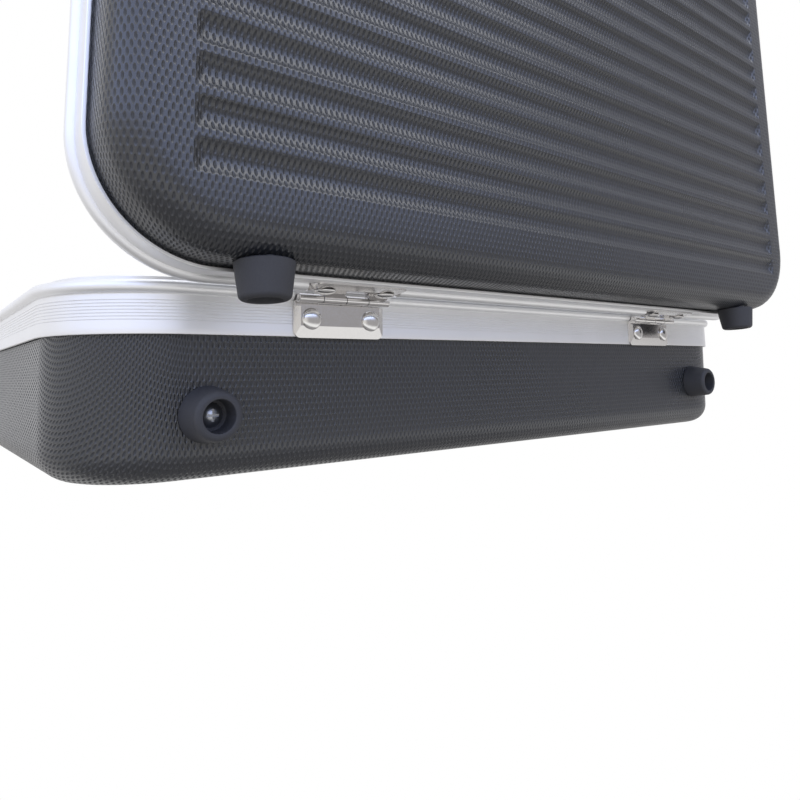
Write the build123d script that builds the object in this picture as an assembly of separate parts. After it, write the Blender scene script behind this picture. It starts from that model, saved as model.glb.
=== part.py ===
from build123d import *
import math
import os

# A hard tool case: two drawn plastic shells in bent aluminium frames, joined by two knuckled hinges.
# The lid stands open at a right angle. X runs along the length, +Y to the hinge side, +Z up.
# The origin is the middle of the base's underside. All sizes are in millimetres.

# Case
frame_length = 385.0
frame_width = 290.0
corner_radius = 38.0
base_shell_depth = 46.0
lid_shell_depth = 20.0
base_frame_height = 16.8
lid_frame_height = 13.0
closing_gap = 0.3

# Frame section
frame_wall = 1.0
bead_radius = 2.2
tongue_height = 1.6
tongue_clearance = 0.3
tongue_head_room = 0.7
clip_leg_depth = 6.5
flange_recess = 3.0

# Shells
shell_inset = 1.7
shell_wall = 2.0
base_draft = 1.5
lid_draft = 3.5
panel_edge_radius = 11.0
flute_pitch = 11.8
flute_width = 9.1
flute_depth = 1.8
flute_edge_margin = 27.0
flute_end_margin = 23.0

# Hinges
hinge_spacing = 201.2
leaf_length = 38.0
leaf_reach = 13.6
leaf_thickness = 1.7
leaf_rim = 0.5
leaf_end_bevel = 4.2
leaf_side_bevel = 2.3
leaf_corner_radius = 2.8
leaf_root = 1.7
pin_stand_off = 3.9
pin_drop = 3.6
pin_radius = 0.8
barrel_radius = 1.6
knuckle_count = 4
knuckle_gap = 0.3
knuckle_set_back = 0.45
knuckle_clearance = 0.1
running_fit = 0.05
rivet_spacing = 25.0
rivet_reach = 6.9
rivet_head_radius = 3.85
rivet_head_height = 1.6
rivet_shank_radius = 1.3
rivet_grip = 0.5
lid_open_angle = 90.0

# Feet
foot_seat_diameter = 18.0
foot_tip_diameter = 15.0
foot_height = 11.4
foot_tip_fillet = 1.6
foot_hole_diameter = 10.3
foot_floor = 3.6
right_base_foot_from_end = 45.5
left_base_foot_from_end = 44.0
left_base_foot_drop = 25.0
right_base_foot_drop = 21.0
right_lid_foot_from_end = 51.5
left_lid_foot_from_end = 48.0
lid_foot_rise = 9.2
lid_seat_radius = 6.0
screw_radius = 1.8
screw_head_radius = 3.9
screw_head_height = 2.4
nut_flats = 7.0
nut_height = 2.8
screw_boss_radius = 5.5
screw_boss_height = 1.5
hole_clearance = 0.05

# Latches
latch_spacing = 230.0
plate_thickness = 1.2
plate_edge_gap = 0.6
latch_plate_length = 37.0
latch_rivet_spacing = 31.0
small_rivet_radius = 2.4
small_rivet_height = 1.1
ear_thickness = 1.2
ear_radius = 2.6
side_clearance = 0.3
lever_width = 22.0
lever_cheek = 1.0
lever_length = 24.0
lever_window = 9.0
lever_stand_off = 5.0
lever_pivot_height = 11.0
lever_hub_radius = 2.3
lever_face_depth = 2.5
lever_open_angle = 110.0
lever_pin_radius = 1.0
claw_width = 14.0
claw_thickness = 1.0
claw_eye_radius = 1.7
claw_pivot_in = 1.8
claw_pivot_down = 4.5
claw_pin_radius = 0.8
claw_tilt = 10.0
hook_reach = 21.7
hook_crank = 2.0
hook_return = 2.7
hook_tip = 1.8
strike_length = 26.0
strike_lip_length = 18.0
strike_rivet_spacing = 20.0
lip_thickness = 1.0
lip_clearance = 0.5

# Handle
handle_span = 116.0
handle_drop = 41.0
handle_stand_off = 7.0
handle_pivot_height = 7.4
handle_arm_width = 8.4
handle_arm_thickness = 7.0
handle_bar_width = 12.0
handle_outer_radius = 14.0
handle_inner_radius = 8.0
handle_arm_chamfer = 1.5
grip_length = 92.0
grip_end_radius = 6.3
grip_crown = 1.3
handle_eye_radius = 3.2
handle_pin_radius = 1.5
handle_ear_thickness = 1.5
bracket_length = 30.0
bracket_rivet_spacing = 20.6

# Levels and faces worked out from the sizes above
rear_face = frame_width / 2
front_face = -frame_width / 2
base_frame_bottom = base_shell_depth
parting = base_frame_bottom + base_frame_height
lid_frame_bottom = parting + closing_gap
lid_frame_top = lid_frame_bottom + lid_frame_height
lid_panel = lid_frame_top + lid_shell_depth
pin_y = rear_face + pin_stand_off
pin_z = parting - pin_drop
shell_inner = shell_inset + shell_wall
clip_inner = shell_inner + frame_wall
tongue_outer = shell_inner
riser_inner = tongue_outer - tongue_clearance
lid_web_top = tongue_height - closing_gap + tongue_head_room + frame_wall
hinge_centres = (-hinge_spacing / 2, hinge_spacing / 2)
latch_centres = (-latch_spacing / 2, latch_spacing / 2)
pin_axis = Axis((0, pin_y, pin_z), (1, 0, 0))


# Frames

def strip(r_low, r_high, z_low, z_high):
    middle = Pos((r_low + r_high) / 2, (z_low + z_high) / 2)
    return middle * Rectangle(r_high - r_low, z_high - z_low)


def half_round(z):
    keep = strip(-frame_wall / 2, 2 * bead_radius, z - bead_radius, z + bead_radius)
    return Pos(0, z) * Circle(bead_radius) & keep


# Section of the base frame: r runs outward from the flat face, z up from the lower edge
def base_section():
    bead_z = base_frame_height - bead_radius
    shape = strip(-frame_wall, 0, 0, base_frame_height)
    shape += strip(-shell_inset, 0, flange_recess, flange_recess + frame_wall)
    shape += strip(-clip_inner, 0, base_frame_height - frame_wall, base_frame_height)
    clip_top = base_frame_height + tongue_height
    shape += strip(-clip_inner, -tongue_outer, base_frame_height - clip_leg_depth, clip_top)
    return shape + half_round(bead_z)


# Section of the lid frame: its parting web is stepped over the tongue of the base frame
def lid_section():
    shape = strip(-frame_wall, 0, 0, lid_frame_height)
    flange_top = lid_frame_height - flange_recess
    shape += strip(-shell_inset, 0, flange_top - frame_wall, flange_top)
    shape += strip(-riser_inner, 0, 0, frame_wall)
    shape += strip(-riser_inner, -riser_inner + frame_wall, 0, lid_web_top)
    shape += strip(-clip_inner, -riser_inner + frame_wall, lid_web_top - frame_wall, lid_web_top)
    shape += strip(-clip_inner, -shell_inner, lid_web_top - frame_wall, lid_web_top + clip_leg_depth - frame_wall)
    return shape + half_round(bead_radius)


# A section run along the four sides and turned round the four corners
def bend_round(section, z):
    sides = [(frame_length, frame_width), (frame_width, frame_length)] * 2
    pieces = []
    for index, (along, across) in enumerate(sides):
        run = along - 2 * corner_radius
        turn = Rot(0, 0, -90 * index)
        start = Plane(origin=(-run / 2, across / 2, z), x_dir=(0, 1, 0), z_dir=(1, 0, 0))
        end = Plane(origin=(run / 2, across / 2, z), x_dir=(0, 1, 0), z_dir=(1, 0, 0))
        corner_axis = Axis((run / 2, across / 2 - corner_radius, z), (0, 0, -1))
        pieces.append(turn * extrude(start * section, run))
        pieces.append(turn * revolve(end * section, corner_axis, 90))
    return Part() + pieces


# The bead is milled away where a hinge or a latch lies on the frame
def bead_gap(x, length, face, z):
    outward = math.copysign(1, face)
    block = Box(length, 2 * bead_radius, 2 * bead_radius + closing_gap)
    return Pos(x, face + outward * bead_radius, z) * block


def bead_gaps(z):
    gaps = [bead_gap(x, leaf_length + 2 * side_clearance, rear_face, z) for x in hinge_centres]
    gaps += [bead_gap(x, latch_plate_length + 2 * side_clearance, front_face, z) for x in latch_centres]
    return gaps


def rivet_hole(x, face, z):
    return Pos(x, face, z) * Rot(90, 0, 0) * Cylinder(rivet_shank_radius + hole_clearance, 4 * frame_wall)


def rivet_pair(x, spacing):
    return (x - spacing / 2, x + spacing / 2)


def base_frame():
    body = bend_round(base_section(), base_frame_bottom)
    body -= bead_gaps(parting - bead_radius)
    holes = []
    for centre in hinge_centres:
        holes += [rivet_hole(x, rear_face, pin_z - rivet_reach) for x in rivet_pair(centre, rivet_spacing)]
    for centre in latch_centres:
        holes += [rivet_hole(x, front_face, latch_rivet_z) for x in rivet_pair(centre, latch_rivet_spacing)]
    for centre in handle_centres:
        holes += [rivet_hole(x, front_face, bracket_rivet_z) for x in rivet_pair(centre, bracket_rivet_spacing)]
    return body - holes


def lid_frame():
    body = bend_round(lid_section(), lid_frame_bottom)
    body -= bead_gaps(lid_frame_bottom + bead_radius)
    holes = []
    for centre in hinge_centres:
        holes += [rivet_hole(x, rear_face, pin_z + rivet_reach) for x in rivet_pair(centre, rivet_spacing)]
    for centre in latch_centres:
        holes += [rivet_hole(x, front_face, strike_rivet_z) for x in rivet_pair(centre, strike_rivet_spacing)]
    return body - holes


# Shells

# Upright walls inside the frame, then walls that lean in towards the panel by the draft angle
def tub(inset, floor_z, knee_z, top_z, edge_radius, draft):
    plan = RectangleRounded(frame_length - 2 * inset, frame_width - 2 * inset, corner_radius - inset)
    block = extrude(Pos(0, 0, knee_z) * plan, top_z - knee_z)
    downward = Plane(origin=(0, 0, knee_z), x_dir=(1, 0, 0), z_dir=(0, 0, -1))
    block += extrude(downward * plan, knee_z - floor_z, taper=draft)
    return fillet(block.edges().group_by(Axis.Z)[0], edge_radius)


def flute_rows():
    span = frame_width - 2 * flute_edge_margin
    spaces = round(span / flute_pitch)
    return [span * (index / spaces - 0.5) for index in range(spaces + 1)]


# Rows of hollows with a round section and ends sloped at 45 degrees, all grown by one wall for the inside
def flutes(grow):
    radius = ((flute_width / 2) ** 2 + flute_depth ** 2) / (2 * flute_depth)
    top = flute_depth + grow
    half = frame_length / 2 - flute_end_margin + grow * math.sqrt(2)
    reach = half - top
    window = make_face(Polyline((-half, 0), (half, 0), (reach, top), (-reach, top), close=True))
    block = extrude(Plane.XZ * window, frame_width / 2, both=True)
    rod = Rot(0, 90, 0) * Cylinder(radius + grow, 2 * half)
    rods = [Pos(0, y, flute_depth - radius) * rod for y in flute_rows()]
    return [block & one for one in rods]


# A drawn shell with its panel down: each flute outside is a ridge inside
def drawn_shell(knee, depth, draft):
    body = tub(shell_inset, 0, knee, depth, panel_edge_radius, draft)
    body -= flutes(0)
    return body - (shell_cavity(knee, depth, draft) - flutes(shell_wall))


def shell_cavity(knee, depth, draft):
    return tub(shell_inner, shell_wall, knee, depth + shell_wall, panel_edge_radius - shell_wall, draft)


def screw_hole(place):
    return place * Cylinder(screw_radius + hole_clearance, 8 * shell_wall)


# A flat round boss inside the wall, for a nut to bear on
def screw_boss(place):
    length = screw_boss_height + shell_wall / 2
    return place * Pos(0, 0, -(shell_wall + length) / 2) * Cylinder(screw_boss_radius, length)


def base_shell():
    body = drawn_shell(base_shell_depth, parting - frame_wall, base_draft)
    body += [screw_boss(place) for place in base_foot_places]
    return body - [screw_hole(place) for place in base_foot_places]


# The lid's feet reach into the rounded panel edge, so each has a flat round seat there
def lid_shell():
    depth = lid_panel - lid_frame_bottom - lid_web_top
    length = panel_edge_radius
    turned_over = Pos(0, 0, lid_panel) * Rot(180, 0, 0)
    body = turned_over * drawn_shell(lid_shell_depth, depth, lid_draft)
    plan = RectangleRounded(frame_length - 2 * shell_inset, frame_width - 2 * shell_inset,
                            corner_radius - shell_inset)
    below_panel = extrude(Pos(0, 0, lid_frame_top) * plan, lid_shell_depth)
    cavity = turned_over * shell_cavity(lid_shell_depth, depth, lid_draft)
    for place in lid_foot_places:
        seat = place * Pos(0, 0, -length / 2) * Cylinder(lid_seat_radius, length)
        body += (seat & below_panel) - cavity
        body += screw_boss(place)
    return body - [screw_hole(place) for place in lid_foot_places]


# Rivets and screws

def dome(radius, height):
    ball_radius = (radius ** 2 + height ** 2) / (2 * height)
    ball = Pos(0, 0, height - ball_radius) * Sphere(ball_radius)
    return ball & Pos(0, 0, height / 2) * Cylinder(2 * radius, height)


# A rivet with its head's underside at z = 0 and its shank below
def rivet(head_radius, head_height, grip):
    shank = Pos(0, 0, -grip / 2) * Cylinder(rivet_shank_radius, grip)
    return dome(head_radius, head_height) + shank


def rivets_on(face, stand, xs, z, head_radius, head_height):
    outward = math.copysign(1, face)
    one = rivet(head_radius, head_height, stand + frame_wall + rivet_grip)
    return [Pos(x, face + outward * stand, z) * Rot(-90 * outward, 0, 0) * one for x in xs]


# Hinges

def hinge_plane(x):
    return Plane(origin=(x, rear_face, pin_z), x_dir=(0, 1, 0), z_dir=(1, 0, 0))


def leaf_plate(x, side):
    near = side * leaf_root
    reach = side * leaf_reach
    flank = Polyline((0, near), (0, reach), (leaf_rim, reach), (leaf_thickness, reach - side * leaf_end_bevel),
                     (leaf_thickness, near), close=True)
    body = extrude(hinge_plane(x) * make_face(flank), leaf_length / 2, both=True)
    end = leaf_length / 2
    flat = end - leaf_side_bevel
    top = Polyline((-end, 0), (end, 0), (end, leaf_rim), (flat, leaf_thickness), (-flat, leaf_thickness),
                   (-end, leaf_rim), close=True)
    body &= Pos(x, rear_face, pin_z) * extrude(make_face(top), leaf_reach, both=True)
    outline = RectangleRounded(leaf_length, 2 * leaf_reach, leaf_corner_radius)
    facing = Plane(origin=(x, rear_face, pin_z), x_dir=(1, 0, 0), z_dir=(0, 1, 0))
    return body & extrude(facing * outline, leaf_thickness, both=True)


# The leaf runs on behind the pin and folds round it, so its web lies on the far side of the barrel
def knuckle(x_low, x_high, side):
    root = (leaf_thickness - knuckle_clearance) / 2
    eye = Pos(pin_stand_off, 0) * Circle(barrel_radius)
    heel = Pos(leaf_thickness - root, -side * knuckle_set_back) * Circle(root)
    joined = side * (leaf_root + root)
    shape = make_hull(eye.edges() + heel.edges())
    shape += strip(knuckle_clearance, leaf_thickness, min(0, joined), max(0, joined))
    shape -= Pos(pin_stand_off, 0) * Circle(pin_radius + running_fit)
    return extrude(hinge_plane(x_low) * shape, x_high - x_low)


# side is -1 for the leaf on the base and +1 for the leaf on the lid
def hinge_leaf(x, side):
    body = leaf_plate(x, side)
    pitch = leaf_length / knuckle_count
    first = 0 if side < 0 else 1
    for index in range(first, knuckle_count, 2):
        high = x + leaf_length / 2 - index * pitch
        body += knuckle(high - pitch + knuckle_gap / 2, high - knuckle_gap / 2, side)
    return body - [rivet_hole(rx, rear_face, pin_z + side * rivet_reach) for rx in rivet_pair(x, rivet_spacing)]


def hinge_pin(x):
    body = Pos(x, pin_y, pin_z) * Rot(0, 90, 0) * Cylinder(pin_radius, leaf_length)
    return body


def hinge_rivets(side):
    z = pin_z + side * rivet_reach
    found = []
    for centre in hinge_centres:
        found += rivets_on(rear_face, leaf_thickness, rivet_pair(centre, rivet_spacing), z,
                           rivet_head_radius, rivet_head_height)
    return found


# Feet, each standing on the rear wall of its shell with its seat at z = 0

shell_face = rear_face - shell_inset


# Where a foot stands on a leaning wall, and the way it faces; the knee is where the wall starts to lean
def wall_place(x, z, knee, draft):
    inward = abs(z - knee) * math.tan(math.radians(draft))
    lean = math.copysign(draft, z - knee)
    return Pos(x, shell_face - inward, z) * Rot(lean - 90, 0, 0)


def base_foot_place(from_end, side, drop):
    return wall_place(side * (frame_length / 2 - from_end), base_frame_bottom - drop, base_frame_bottom, base_draft)


def lid_foot_place(from_end, side):
    return wall_place(side * (frame_length / 2 - from_end), lid_frame_top + lid_foot_rise, lid_frame_top, lid_draft)


base_foot_places = (base_foot_place(right_base_foot_from_end, -1, right_base_foot_drop),
                    base_foot_place(left_base_foot_from_end, 1, left_base_foot_drop))
lid_foot_places = (lid_foot_place(right_lid_foot_from_end, -1), lid_foot_place(left_lid_foot_from_end, 1))


def foot():
    body = Pos(0, 0, foot_height / 2) * Cone(foot_seat_diameter / 2, foot_tip_diameter / 2, foot_height)
    body = fillet(body.edges().group_by(Axis.Z)[-1], foot_tip_fillet)
    deep = foot_height - foot_floor
    body -= Pos(0, 0, foot_floor + deep / 2) * Cylinder(foot_hole_diameter / 2, deep)
    return body - Cylinder(screw_radius + hole_clearance, 2 * foot_height)


def foot_screw():
    length = foot_floor + shell_wall + screw_boss_height + nut_height
    head = Pos(0, 0, foot_floor) * dome(screw_head_radius, screw_head_height)
    shank = Pos(0, 0, foot_floor - length / 2) * Cylinder(screw_radius, length)
    cross = Box(screw_head_radius, screw_head_height / 3, screw_head_height)
    cross += Rot(0, 0, 90) * cross
    return head + shank - Pos(0, 0, foot_floor + screw_head_height) * cross


def foot_nut():
    hexagon = RegularPolygon(nut_flats / 2, 6, major_radius=False)
    ring = hexagon - Circle(screw_radius + hole_clearance)
    return Pos(0, 0, -shell_wall - screw_boss_height - nut_height) * extrude(ring, nut_height)


# Latches, drawn shut and then let go: the lever swings out and lifts the claw off the strike

latch_rivet_z = base_frame_bottom + base_frame_height / 2 - plate_edge_gap
strike_rivet_z = lid_frame_bottom + plate_edge_gap + small_rivet_radius
lever_pivot = (lever_stand_off, lever_pivot_height)
claw_pivot = (lever_stand_off - claw_pivot_in, lever_pivot_height - claw_pivot_down)
lever_axis = Axis((0, front_face - lever_pivot[0], base_frame_bottom + lever_pivot[1]), (1, 0, 0))
claw_axis = Axis((0, front_face - claw_pivot[0], base_frame_bottom + claw_pivot[1]), (1, 0, 0))


# Points in this plane are the distance out of the front face and the height over the base frame's edge
def front_plane(x):
    return Plane(origin=(x, front_face, base_frame_bottom), x_dir=(0, -1, 0), z_dir=(-1, 0, 0))


def front_slab(x, width, shape):
    return extrude(front_plane(x) * shape, width / 2, both=True)


def disc(point, radius):
    return Pos(*point) * Circle(radius)


def hull_of(*shapes):
    edges = ShapeList()
    for shape in shapes:
        edges += shape.edges()
    return make_hull(edges)


def latch_base(x):
    plate = strip(0, plate_thickness, plate_edge_gap, base_frame_height - plate_edge_gap)
    body = front_slab(x, latch_plate_length, plate)
    root = plate_thickness / 2
    low = lever_pivot_height - ear_radius
    high = lever_pivot_height + ear_radius
    ear = hull_of(disc(lever_pivot, ear_radius), disc((root, low), root), disc((root, high), root))
    ear -= disc(lever_pivot, lever_pin_radius + running_fit)
    ear_x = lever_width / 2 + side_clearance + ear_thickness / 2
    body += [front_slab(x + offset, ear_thickness, ear) for offset in (-ear_x, ear_x)]
    return body - [rivet_hole(rx, front_face, latch_rivet_z) for rx in rivet_pair(x, latch_rivet_spacing)]


def latch_lever(x):
    face_out = lever_stand_off + lever_face_depth
    tip = lever_pivot_height - lever_length
    round_off = lever_cheek
    cheek = hull_of(disc(lever_pivot, lever_hub_radius), disc(claw_pivot, claw_eye_radius),
                    disc((face_out - round_off, lever_pivot_height), round_off),
                    disc((face_out - round_off, tip + round_off), round_off))
    cheek -= disc(lever_pivot, lever_pin_radius + running_fit)
    cheek -= disc(claw_pivot, claw_pin_radius)
    offset = (lever_width - lever_cheek) / 2
    body = Part() + [front_slab(x + side * offset, lever_cheek, cheek) for side in (-1, 1)]
    top = lever_pivot_height - lever_window
    cover = strip(face_out - lever_cheek, face_out, tip + lever_cheek, top)
    curl = Pos(face_out, tip + lever_cheek) * Circle(lever_cheek)
    body += front_slab(x, lever_width, cover + curl)
    return body


def claw(x):
    out, up = claw_pivot
    rise = hook_reach / 3
    path = Polyline((out, up), (out, up + rise), (out + hook_crank, up + rise + 2.5 * hook_crank),
                    (out + hook_crank, up + hook_reach), (out + hook_crank - hook_return, up + hook_reach),
                    (out + hook_crank - hook_return, up + hook_reach - hook_tip))
    strap = front_slab(x, claw_width, trace(path, line_width=claw_thickness))
    eye_width = lever_width - 2 * lever_cheek - 2 * side_clearance
    strap += front_slab(x, eye_width, disc(claw_pivot, claw_eye_radius))
    return strap - front_slab(x, 2 * eye_width, disc(claw_pivot, claw_pin_radius + running_fit))


def lever_pins(x):
    outer = lever_width / 2 + side_clearance + ear_thickness + side_clearance
    inner = claw_width / 2 + 2 * side_clearance
    length = outer - inner
    middle = (outer + inner) / 2
    return [front_slab(x + side * middle, length, disc(lever_pivot, lever_pin_radius)) for side in (-1, 1)]


def claw_pin(x):
    return front_slab(x, lever_width, disc(claw_pivot, claw_pin_radius))


def strike(x):
    bottom = lid_frame_bottom - base_frame_bottom
    plate = strip(0, plate_thickness, bottom + plate_edge_gap, bottom + lid_frame_height - plate_edge_gap)
    body = front_slab(x, strike_length, plate)
    out, up = claw_pivot
    lip_out = out + hook_crank - claw_thickness / 2 - lip_clearance
    lip_top = up + hook_reach - claw_thickness / 2 - lip_clearance
    lip_low = lip_top - hook_tip - 2 * lip_thickness
    lip = strip(0, lip_out, lip_low, lip_low + lip_thickness)
    lip += strip(lip_out - lip_thickness, lip_out, lip_low, lip_top)
    body += front_slab(x, strike_lip_length, lip)
    return body - [rivet_hole(rx, front_face, strike_rivet_z) for rx in rivet_pair(x, strike_rivet_spacing)]


def let_lever_go(body):
    return body.rotate(lever_axis, -lever_open_angle)


def let_claw_go(body):
    return let_lever_go(body.rotate(claw_axis, lever_open_angle + claw_tilt))


# Handle, hanging on the front of the base frame

handle_centres = (-handle_span / 2, handle_span / 2)
handle_pivot = (handle_stand_off, handle_pivot_height)
bracket_rivet_z = base_frame_bottom + plate_edge_gap + handle_pivot_height - handle_eye_radius / 2


def handle_bracket(x):
    top = base_frame_height - 2 * bead_radius - plate_edge_gap
    body = front_slab(x, bracket_length, strip(0, plate_thickness, plate_edge_gap, top))
    root = plate_thickness / 2
    ear = hull_of(disc(handle_pivot, handle_eye_radius), disc((root, plate_edge_gap + root), root),
                  disc((root, top - root), root))
    ear -= disc(handle_pivot, handle_pin_radius + running_fit)
    ear_x = handle_arm_width / 2 + side_clearance + handle_ear_thickness / 2
    body += [front_slab(x + offset, handle_ear_thickness, ear) for offset in (-ear_x, ear_x)]
    return body - [rivet_hole(rx, front_face, bracket_rivet_z) for rx in rivet_pair(x, bracket_rivet_spacing)]


def handle_pin(x):
    length = handle_arm_width + 2 * side_clearance + 2 * handle_ear_thickness + side_clearance
    return front_slab(x, length, disc(handle_pivot, handle_pin_radius))


# One moulding: a bow of even thickness with a crowned round grip along its bar
def handle():
    pivot_z = base_frame_bottom + handle_pivot_height
    bar_z = pivot_z - handle_drop
    y = front_face - handle_stand_off
    facing = Plane(origin=(0, y, bar_z), x_dir=(1, 0, 0), z_dir=(0, -1, 0))
    outer_length = handle_span + handle_arm_width
    inner_length = handle_span - handle_arm_width
    low = -handle_bar_width / 2
    outer_height = 2 * (handle_drop - low)
    inner_height = 2 * (handle_drop + low)
    outer = Pos(0, handle_drop) * RectangleRounded(outer_length, outer_height, handle_outer_radius)
    inner = Pos(0, handle_drop) * RectangleRounded(inner_length, inner_height, handle_inner_radius)
    above = Pos(0, 2 * handle_drop) * Rectangle(2 * outer_length, 2 * handle_drop)
    bow = extrude(facing * (outer - inner - above), handle_arm_thickness / 2, both=True)
    bow = chamfer(bow.edges().filter_by(GeomType.CIRCLE), handle_arm_chamfer)
    half = grip_length / 2
    crown = ThreePointArc((-half, grip_end_radius), (0, grip_end_radius + grip_crown), (half, grip_end_radius))
    outline = make_face([crown, Polyline((half, grip_end_radius), (half, 0), (-half, 0), (-half, grip_end_radius))])
    grip = revolve(facing * outline, Axis((0, y, bar_z), (1, 0, 0)), 360)
    body = bow + grip
    for x in handle_centres:
        body += front_slab(x, handle_arm_width, disc(handle_pivot, handle_eye_radius))
    return body - [front_slab(x, 2 * handle_arm_width, disc(handle_pivot, handle_pin_radius + running_fit))
                   for x in handle_centres]


# Lid pieces are drawn shut and turned open about the hinge pins
def opened(body):
    return body.rotate(pin_axis, -lid_open_angle)


def front_rivets(centres, spacing, z):
    found = []
    for centre in centres:
        found += rivets_on(front_face, plate_thickness, rivet_pair(centre, spacing), z,
                           small_rivet_radius, small_rivet_height)
    return found


def pieces():
    yield "base_shell", [base_shell()]
    yield "base_frame", [base_frame()]
    yield "lid_shell", [opened(lid_shell())]
    yield "lid_frame", [opened(lid_frame())]
    for name, x in zip(("right", "left"), hinge_centres):
        yield f"{name}_hinge_base_leaf", [hinge_leaf(x, -1)]
        yield f"{name}_hinge_lid_leaf", [opened(hinge_leaf(x, 1))]
        yield f"{name}_hinge_pin", [hinge_pin(x)]
    yield "hinge_base_rivets", hinge_rivets(-1)
    yield "hinge_lid_rivets", [opened(one) for one in hinge_rivets(1)]
    for name, base_place, lid_place in zip(("right", "left"), base_foot_places, lid_foot_places):
        yield f"{name}_base_foot", [base_place * foot()]
        yield f"{name}_lid_foot", [opened(lid_place * foot())]
    yield "base_foot_screws", [place * foot_screw() for place in base_foot_places]
    yield "lid_foot_screws", [opened(place * foot_screw()) for place in lid_foot_places]
    yield "base_foot_nuts", [place * foot_nut() for place in base_foot_places]
    yield "lid_foot_nuts", [opened(place * foot_nut()) for place in lid_foot_places]
    for name, x in zip(("right", "left"), latch_centres):
        yield f"{name}_latch_base", [latch_base(x)]
        yield f"{name}_latch_lever", [let_lever_go(latch_lever(x))]
        yield f"{name}_latch_claw", [let_claw_go(claw(x))]
        yield f"{name}_latch_lever_pins", lever_pins(x)
        yield f"{name}_latch_claw_pin", [let_lever_go(claw_pin(x))]
        yield f"{name}_strike", [opened(strike(x))]
    yield "latch_rivets", front_rivets(latch_centres, latch_rivet_spacing, latch_rivet_z)
    yield "strike_rivets", [opened(one) for one in front_rivets(latch_centres, strike_rivet_spacing,
                                                                strike_rivet_z)]
    for name, x in zip(("right", "left"), handle_centres):
        yield f"{name}_handle_bracket", [handle_bracket(x)]
    yield "handle_pins", [handle_pin(x) for x in handle_centres]
    yield "bracket_rivets", front_rivets(handle_centres, bracket_rivet_spacing, bracket_rivet_z)
    yield "handle", [handle()]


os.makedirs("parts", exist_ok=True)
for node, bodies in pieces():
    solids = [solid for body in bodies for solid in body.solids()]
    export_step(solids[0] if len(solids) == 1 else Compound(children=solids), f"parts/{node}.step")
    print(node, len(solids), round(sum(solid.volume for solid in solids), 1))
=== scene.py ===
import math

import bmesh
import bpy
import numpy as np
from mathutils import Matrix, Vector


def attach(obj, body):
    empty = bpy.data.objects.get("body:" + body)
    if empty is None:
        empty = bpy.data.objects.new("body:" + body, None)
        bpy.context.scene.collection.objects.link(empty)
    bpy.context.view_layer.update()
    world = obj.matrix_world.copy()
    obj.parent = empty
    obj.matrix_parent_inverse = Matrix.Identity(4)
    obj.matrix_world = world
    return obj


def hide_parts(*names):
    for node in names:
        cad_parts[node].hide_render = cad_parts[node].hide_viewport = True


# An open tool case seen from behind: embossed shells in bright frames, knuckled hinges and rubber feet.
# Lengths below are in millimetres and become metres when a mesh is made.
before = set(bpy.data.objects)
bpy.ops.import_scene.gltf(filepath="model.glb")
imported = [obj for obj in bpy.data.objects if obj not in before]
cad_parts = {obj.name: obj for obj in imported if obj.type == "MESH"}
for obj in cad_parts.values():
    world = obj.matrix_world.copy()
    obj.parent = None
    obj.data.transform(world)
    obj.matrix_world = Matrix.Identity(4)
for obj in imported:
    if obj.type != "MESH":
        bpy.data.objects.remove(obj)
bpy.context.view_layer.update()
mm = 0.001
print("frame loaded")


# Camera, solved from the frame edges, the hinges, the feet and the rib ends of the photo
camera = {"place": (0.22505, 0.34509, 0.03234), "yaw": 38.327, "pitch": 7.55, "roll": -1.101,
          "focalPixels": 642.519, "centrePixels": (411.31, 288.971), "picture": 800, "sensor": 36.0}


def addCamera():
    yaw, pitch, roll = (math.radians(camera[name]) for name in ("yaw", "pitch", "roll"))
    forward = Vector((-math.sin(yaw) * math.cos(pitch), -math.cos(yaw) * math.cos(pitch), math.sin(pitch)))
    across = Vector((-math.cos(yaw), math.sin(yaw), 0))
    up = across.cross(forward)
    right = across * math.cos(roll) + up * math.sin(roll)
    top = up * math.cos(roll) - across * math.sin(roll)
    lens = bpy.data.cameras.new("camera")
    lens.sensor_width = camera["sensor"]
    lens.lens = camera["sensor"] * camera["focalPixels"] / camera["picture"]
    lens.shift_x = 0.5 - camera["centrePixels"][0] / camera["picture"]
    lens.shift_y = camera["centrePixels"][1] / camera["picture"] - 0.5
    lens.clip_start = 0.005
    lens.clip_end = 20
    holder = bpy.data.objects.new("camera", lens)
    turn = Matrix((right, top, -forward)).transposed().to_4x4()
    holder.matrix_world = Matrix.Translation(camera["place"]) @ turn
    bpy.context.scene.collection.objects.link(holder)
    bpy.context.scene.camera = holder


addCamera()
bpy.context.scene.view_settings.view_transform = "Standard"
print("camera set")


# Light: a white room with a cool window behind the camera, grey below it, a pale ground and a darker middle.
# Each lamp has its place, size and power.
light = {"above": (0.98, 1.02, 1.14), "window": (1.3, 1.5, 2.2), "far": (0.95, 0.95, 0.97),
         "near": (0.43, 0.42, 0.425), "nearSide": (0.85, 0.83, 0.8), "lowFar": (0.7, 0.69, 0.69),
         "lowNear": (1.12, 1.12, 1.12), "floorFar": (1.0, 1.0, 1.0), "below": (0.36, 0.355, 0.36),
         "dip": 0.13, "windowTurn": 0.6, "aim": (0, 0.1, 0.1),
         "lamps": {"overhead": ((0.1, 0.25, 1.5), 1.0, 4.5), "behind": ((-0.7, 1.0, 1.5), 1.0, 5.0)}}
# Between which parts of a direction one colour turns into the next
fades = {"nearSide": (-0.25, 0.3), "near": (-0.4, 0.5), "windowAcross": (0.1, 0.45), "windowUp": (0.12, 0.3),
         "above": (0.55, 0.8), "ground": (-0.1, 0.5), "floor": (-0.7, -0.4), "deep": (-0.64, -0.48),
         "horizon": (-0.2, -0.04)}


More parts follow.
